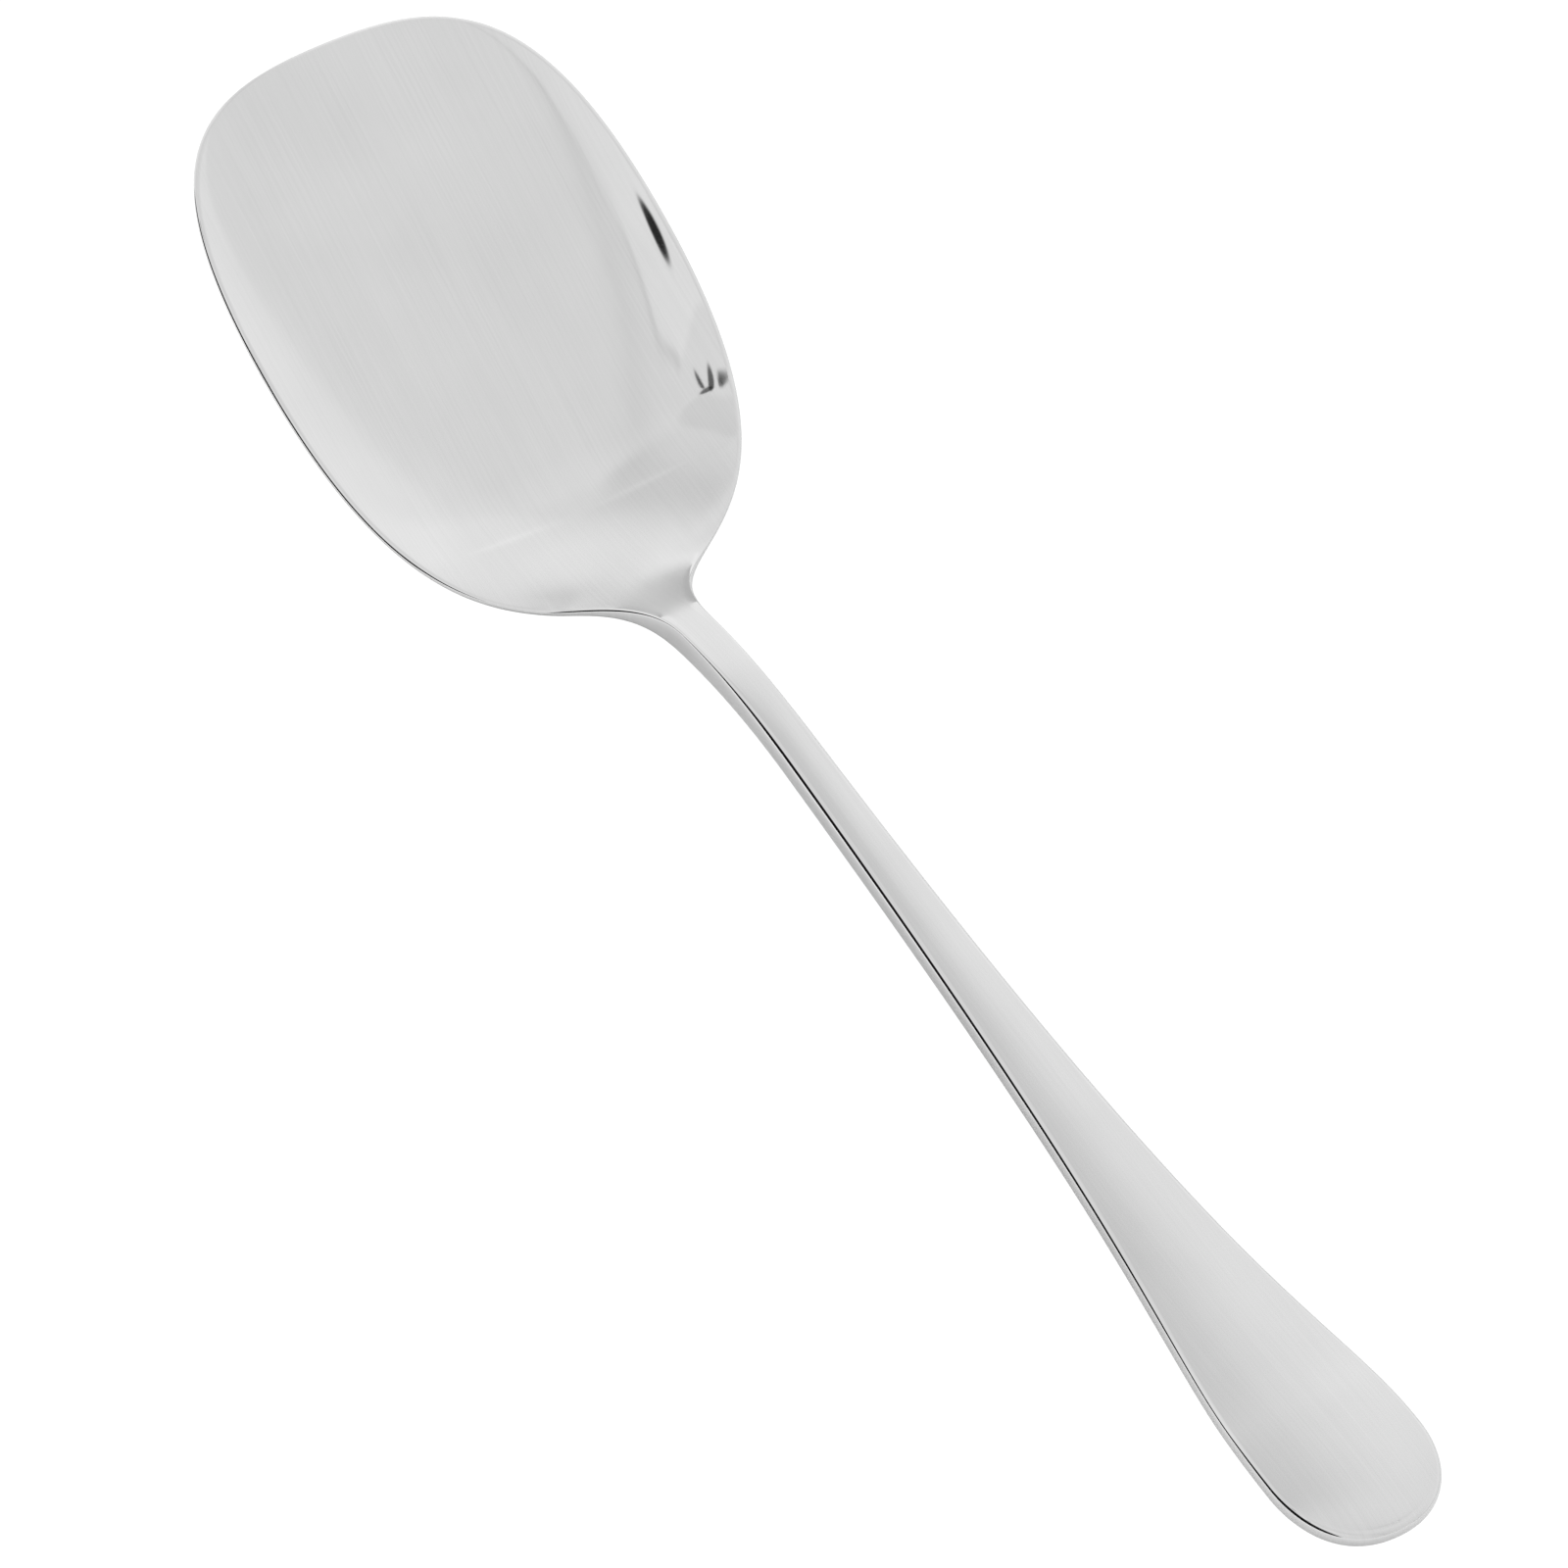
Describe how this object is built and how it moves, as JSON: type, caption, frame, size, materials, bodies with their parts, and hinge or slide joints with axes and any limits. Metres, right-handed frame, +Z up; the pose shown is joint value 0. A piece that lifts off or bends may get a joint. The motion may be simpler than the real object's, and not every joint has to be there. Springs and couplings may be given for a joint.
{
  "type": "serving spatula",
  "caption": "Polished steel serving spatula: shallow dished blade with an open straight front, narrow rising neck and a slim flat handle that widens to a rounded end.",
  "frame": {"origin": "centre of the bounding box, on the table that the spatula lies on", "axes": "+X along the spatula from the blade's front edge to the handle's end, +Y across the blade, +Z up from the table"},
  "size_m": [0.2394, 0.0556, 0.0274],
  "materials": {
    "steel": "polished with a fine lengthwise grain"
  },
  "bodies": {
    "root": {"spatula": "steel"}
  },
  "joints": []
}
